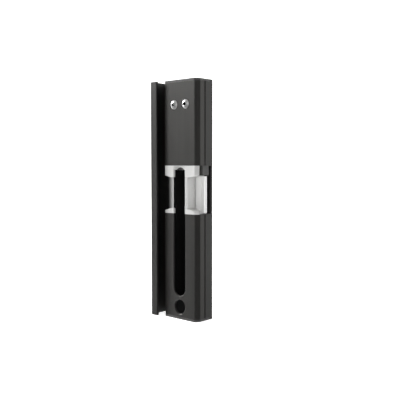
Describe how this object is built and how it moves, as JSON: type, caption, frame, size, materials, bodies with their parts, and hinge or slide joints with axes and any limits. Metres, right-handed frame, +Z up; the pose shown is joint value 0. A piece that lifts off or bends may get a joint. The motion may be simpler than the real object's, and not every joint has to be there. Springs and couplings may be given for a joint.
{
  "type": "electric door strike",
  "caption": "Surface-mounted electric strike with a gate stop, a folding jaw beside a bolt slot, and a coil-released lock behind the upper cover.",
  "frame": {"origin": "on the back face that lies on the post, at mid-width of the covers and at mid-height", "axes": "+X across the post towards the jaw, +Y into the post, +Z up along the post; the front face looks to -Y"},
  "size_m": [0.0645, 0.029, 0.255],
  "materials": {
    "base_profile": "black anodised, satin",
    "covers": "black anodised, satin",
    "end_caps": "moulded, fine texture",
    "cover_screws": "bright stainless",
    "cover_standoffs": "turned",
    "base_screws": "zinc plated",
    "strike_frame": "cast, blasted and nickel plated, pale silver",
    "bolt_box": "moulded, black",
    "jaw": "cast, blasted and nickel plated, pale silver",
    "jaw_bushes": "turned",
    "steel_parts": "stamped",
    "springs": "spring wire",
    "housing": "moulded, black",
    "magnet_iron": "zinc plated soft iron",
    "coil_bobbin": "moulded, natural",
    "coil_winding": "enamelled copper wire",
    "terminal_block": "moulded, pale",
    "terminal_screws": "plated",
    "suppression_diode": "moulded body, tinned leads",
    "lead_wire_red": "insulated wire",
    "lead_wire_black": "insulated wire",
    "cable_grommet": "moulded rubber"
  },
  "bodies": {
    "root": {"base_profile": "base_profile", "upper_cover": "covers", "lower_cover": "covers", "top_end_cap": "end_caps", "bottom_end_cap": "end_caps", "cover_screws": "cover_screws", "cover_standoffs": "cover_standoffs", "base_screws": "base_screws", "strike_frame": "strike_frame", "bolt_box": "bolt_box", "jaw_bushes": "jaw_bushes", "jaw_spring": "springs", "mechanism_housing": "housing", "housing_lid": "housing", "lid_screws": "base_screws", "lever_pin": "steel_parts", "lever_spring": "springs", "armature_pin": "steel_parts", "armature_spring": "springs", "coil_yoke": "magnet_iron", "coil_core": "magnet_iron", "coil_bobbin": "coil_bobbin", "coil_winding": "coil_winding", "terminal_block": "terminal_block", "terminal_screws": "terminal_screws", "suppression_diode": "suppression_diode", "lead_wire_red": "lead_wire_red", "lead_wire_black": "lead_wire_black", "cable_grommet": "cable_grommet"},
    "jaw": {"jaw": "jaw", "jaw_cam": "steel_parts"},
    "locking_lever": {"locking_lever": "steel_parts"},
    "armature": {"armature": "magnet_iron"}
  },
  "joints": [
    {"name": "jaw_hinge", "type": "hinge", "parent": "root", "child": "jaw", "pos_m": [0.00975, -0.0142, 0.008], "axis": [0, 0, 1], "range_deg": [0, 80]},
    {"name": "lever_hinge", "type": "hinge", "parent": "root", "child": "locking_lever", "pos_m": [-0.001, -0.01, 0.057], "axis": [0, 1, 0], "range_deg": [0, 24.5]},
    {"name": "armature_hinge", "type": "hinge", "parent": "root", "child": "armature", "pos_m": [0.0011, -0.0128, 0.0825], "axis": [0, 1, 0], "range_deg": [0, 8.2], "deforming": ["armature_spring"]}
  ],
  "couplings": [
    {"joint": "lever_hinge", "follows": "jaw_hinge", "ratio": 0.3},
    {"joint": "armature_hinge", "follows": "jaw_hinge", "ratio": 0.1}
  ]
}
